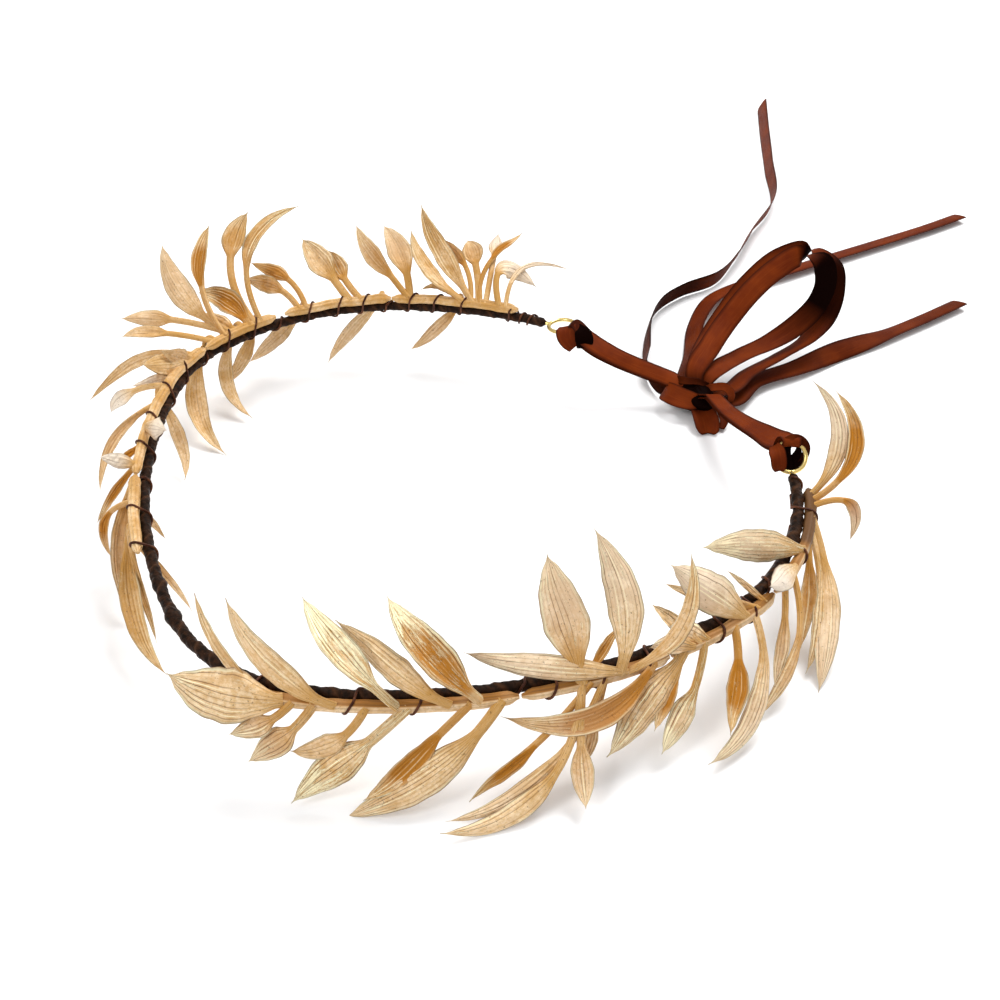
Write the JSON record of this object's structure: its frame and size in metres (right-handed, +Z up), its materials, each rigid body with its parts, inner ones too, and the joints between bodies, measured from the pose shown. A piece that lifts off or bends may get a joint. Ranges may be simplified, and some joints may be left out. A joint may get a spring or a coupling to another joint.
{
  "type": "laurel wreath crown",
  "caption": "Open wire hoop wrapped in dark tape, with gilded leafy sprigs lashed round its outer side and a narrow satin ribbon tied in a bow between its two end eyes.",
  "frame": {"origin": "on the axis of the head that the hoop goes round, in the level of the surface that the lowest leaf tips rest on", "axes": "+Z up out of the crown, -Y towards the forehead, +Y towards the bow at the back, +X to the side of the right eye"},
  "size_m": [0.2838, 0.3346, 0.0481],
  "materials": {
    "gold_leaf": "gilded dried leaf, satin with metallic flecks",
    "floral_tape": "dark brown crinkled paper tape, slightly waxy",
    "binding_wire": "thin dark brown wire, satin",
    "brass_wire": "bright drawn wire",
    "satin_ribbon": "red-brown satin"
  },
  "bodies": {
    "root": {"hoop": "floral_tape", "left_eye": "brass_wire", "right_eye": "brass_wire", "left_end_sprig": "gold_leaf", "back_sprig": "gold_leaf", "back_left_sprig": "gold_leaf", "left_sprig": "gold_leaf", "left_front_sprig": "gold_leaf", "front_left_sprig": "gold_leaf", "front_right_sprig": "gold_leaf", "right_sprig": "gold_leaf", "right_end_sprig": "gold_leaf", "binding_wire": "binding_wire", "left_strand": "satin_ribbon", "right_strand": "satin_ribbon", "bow_knot": "satin_ribbon", "upper_loop": "satin_ribbon", "lower_loop": "satin_ribbon", "left_tail": "satin_ribbon", "middle_tail": "satin_ribbon", "right_tail": "satin_ribbon"}
  },
  "joints": []
}
